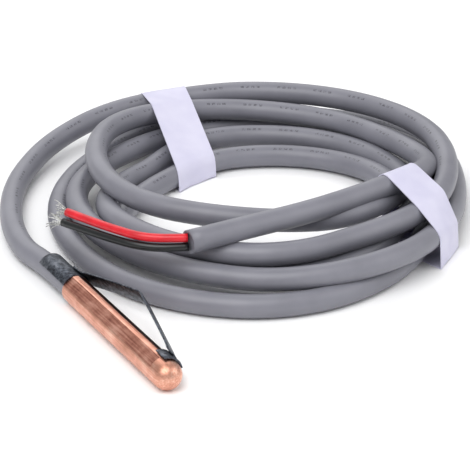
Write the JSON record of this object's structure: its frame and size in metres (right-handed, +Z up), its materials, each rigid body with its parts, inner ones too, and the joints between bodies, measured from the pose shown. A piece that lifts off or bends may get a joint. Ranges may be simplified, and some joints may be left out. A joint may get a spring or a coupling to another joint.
{
  "type": "cable temperature probe",
  "caption": "Copper-sheathed cable temperature probe with a spring pressure clip and a tied coil of two-core cable, ends stripped.",
  "frame": {"origin": "bottom centre of the box round the sheath and its clip, on the surface it lies on", "axes": "+Z up, the probe along Y with its domed tip towards -Y, the clip's arch and the coil on the +X side"},
  "size_m": [0.1103, 0.1204, 0.017],
  "materials": {
    "copper": "drawn copper, bright with light handling haze",
    "potting_resin": "cast epoxy",
    "bead_glass": "epoxy-coated bead",
    "tinned_wire": "tinned copper",
    "solder": "tin solder",
    "shrink_tube": "polyolefin shrink tube",
    "red_insulation": "PVC, satin",
    "black_insulation": "PVC, satin",
    "spring_steel": "blued spring steel, mottled",
    "grey_jacket": "extruded PVC, satin",
    "tie_film": "white plastic-coated paper strip"
  },
  "bodies": {
    "probe": {"copper_sheath": "copper", "potting_compound": "potting_resin", "thermistor_bead": "bead_glass", "thermistor_lead_red": "tinned_wire", "thermistor_lead_black": "tinned_wire", "solder_joint_red": "solder", "solder_joint_black": "solder", "shrink_sleeve_red": "shrink_tube", "shrink_sleeve_black": "shrink_tube", "inner_wire_red": "red_insulation", "inner_wire_black": "black_insulation", "clip_collar": "spring_steel", "cable_lead": "grey_jacket", "cable_coil": "grey_jacket", "cable_tail": "grey_jacket", "tail_wire_red": "red_insulation", "tail_wire_black": "black_insulation", "strands_red": "tinned_wire", "strands_black": "tinned_wire", "tie_back": "tie_film", "tie_front": "tie_film"},
    "rear_leaf": {"clip_rear_leaf": "spring_steel"},
    "front_leaf": {"clip_front_leaf": "spring_steel"}
  },
  "joints": [
    {"name": "clip_press", "type": "hinge", "parent": "probe", "child": "rear_leaf", "pos_m": [0.0005, 0.0159, 0.00475], "axis": [0.4848, 0, -0.8746], "range_deg": [0, 7], "stiffness_Nm_per_rad": 0.2},
    {"name": "clip_peak_bend", "type": "hinge", "parent": "rear_leaf", "child": "front_leaf", "pos_m": [0.00452, -0.0008, 0.00698], "axis": [0.4848, 0, -0.8746], "range_deg": [-12.5, 0]}
  ],
  "couplings": [
    {"joint": "clip_peak_bend", "follows": "clip_press", "ratio": -1.7467}
  ]
}
